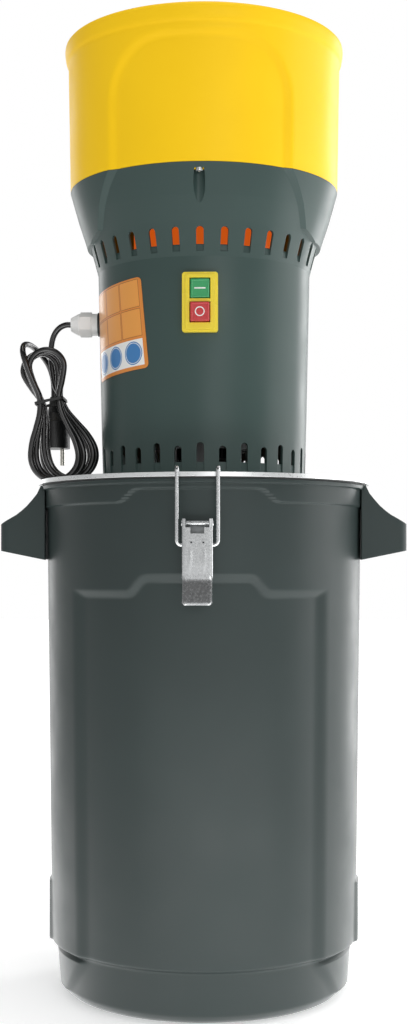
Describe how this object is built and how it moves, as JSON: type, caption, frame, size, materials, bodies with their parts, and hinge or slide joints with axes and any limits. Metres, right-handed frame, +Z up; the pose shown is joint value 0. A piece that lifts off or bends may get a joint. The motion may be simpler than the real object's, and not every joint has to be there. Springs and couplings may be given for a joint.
{
  "type": "electric grain mill",
  "caption": "Tall electric grain mill: a round hopper over a slotted motor head that is clamped by toggle latches to a collecting bucket with side handles.",
  "frame": {"origin": "centre of the bucket's flat base", "axes": "+Z up, -Y towards the switch and the front latch, +X to the right as seen from the front"},
  "size_m": [0.437, 0.3924, 1.0244],
  "materials": {
    "bucket_green": "moulded, satin",
    "handle_green": "moulded, satin",
    "housing_green": "moulded, satin",
    "hopper_yellow": "moulded, half gloss",
    "funnel_orange": "moulded",
    "zinc_steel": "bright zinc plate",
    "lid_steel": "bright sheet steel",
    "black_rubber": "moulded rubber",
    "label_vinyl": "printed film",
    "switch_yellow": "moulded",
    "switch_black": "moulded",
    "start_green": "moulded",
    "stop_red": "moulded",
    "gland_white": "nylon",
    "cord_black": "glossy cord sheath",
    "plug_black": "moulded",
    "nickel_brass": "nickel plated",
    "cast_alloy": "die cast",
    "lamination": "stacked sheet steel",
    "copper_wire": "enamelled copper",
    "bright_steel": "ground",
    "brush_brass": "pressed brass",
    "carbon": "carbon",
    "fan_plastic": "moulded"
  },
  "bodies": {
    "base": {"bucket": "bucket_green", "left_handle": "handle_green", "right_handle": "handle_green", "front_latch_base": "zinc_steel", "front_latch_pin": "zinc_steel", "rear_latch_base": "zinc_steel", "rear_latch_pin": "zinc_steel"},
    "head": {"lid_plate": "lid_steel", "lid_seal": "black_rubber", "lid_screws": "zinc_steel", "motor_housing": "housing_green", "housing_screws": "zinc_steel", "hopper": "hopper_yellow", "gate_guides": "hopper_yellow", "feed_funnel": "funnel_orange", "feed_chute": "lid_steel", "safety_label": "label_vinyl", "switch_frame": "switch_yellow", "switch_body": "switch_black", "gland_body": "gland_white", "gland_washer": "black_rubber", "gland_nut": "gland_white", "gland_locknut": "gland_white", "power_cord": "cord_black", "cord_hank": "cord_black", "cord_tail": "cord_black", "cord_tie": "plug_black", "power_plug": "plug_black", "plug_pins": "nickel_brass", "lower_bracket": "cast_alloy", "stator_core": "lamination", "field_coils": "copper_wire", "upper_bracket": "cast_alloy", "motor_bolts": "zinc_steel", "lower_bearing": "bright_steel", "upper_bearing": "bright_steel", "brush_holders": "brush_brass", "carbon_brushes": "carbon", "sieve_ring": "zinc_steel", "chamber_floor": "zinc_steel", "chamber_studs": "zinc_steel", "chamber_nuts": "zinc_steel"},
    "rotor": {"motor_shaft": "bright_steel", "armature_core": "lamination", "armature_winding": "copper_wire", "commutator": "copper_wire", "cooling_fan": "fan_plastic", "blade_hub": "cast_alloy", "cutter_blade": "bright_steel", "blade_nut": "zinc_steel"},
    "start_button": {"start_button": "start_green"},
    "stop_button": {"stop_button": "stop_red"},
    "feed_gate": {"feed_gate": "switch_black"},
    "front_lever": {"front_latch_lever": "zinc_steel"},
    "front_bail": {"front_bail": "zinc_steel"},
    "rear_lever": {"rear_latch_lever": "zinc_steel"},
    "rear_bail": {"rear_bail": "zinc_steel"}
  },
  "joints": [
    {"name": "head_lift", "type": "slide", "parent": "base", "child": "head", "axis": [0, 0, 1], "range_m": [0, 0.15]},
    {"name": "rotor_spin", "type": "hinge", "parent": "head", "child": "rotor", "pos_m": [0, 0, 0.6], "axis": [0, 0, 1], "continuous": true},
    {"name": "start_press", "type": "slide", "parent": "head", "child": "start_button", "axis": [0, 1, 0], "range_m": [0, 0.003], "stiffness_N_per_m": 400},
    {"name": "stop_press", "type": "slide", "parent": "head", "child": "stop_button", "axis": [0, 1, 0], "range_m": [0, 0.003], "stiffness_N_per_m": 400},
    {"name": "gate_slide", "type": "slide", "parent": "head", "child": "feed_gate", "axis": [0, -1, 0], "range_m": [0, 0.052]},
    {"name": "front_latch", "type": "hinge", "parent": "base", "child": "front_lever", "pos_m": [0, -0.181, 0.5013], "axis": [-1, 0, 0], "range_deg": [0, 130]},
    {"name": "front_bail_swing", "type": "hinge", "parent": "front_lever", "child": "front_bail", "pos_m": [0, -0.183, 0.48], "axis": [1, 0, 0], "range_deg": [0, 169.5]},
    {"name": "rear_latch", "type": "hinge", "parent": "base", "child": "rear_lever", "pos_m": [0, 0.181, 0.5013], "axis": [1, 0, 0], "range_deg": [0, 130]},
    {"name": "rear_bail_swing", "type": "hinge", "parent": "rear_lever", "child": "rear_bail", "pos_m": [0, 0.183, 0.48], "axis": [-1, 0, 0], "range_deg": [0, 169.5]}
  ],
  "couplings": [
    {"joint": "front_bail_swing", "follows": "front_latch", "ratio": 1.3},
    {"joint": "rear_bail_swing", "follows": "rear_latch", "ratio": 1.3}
  ]
}
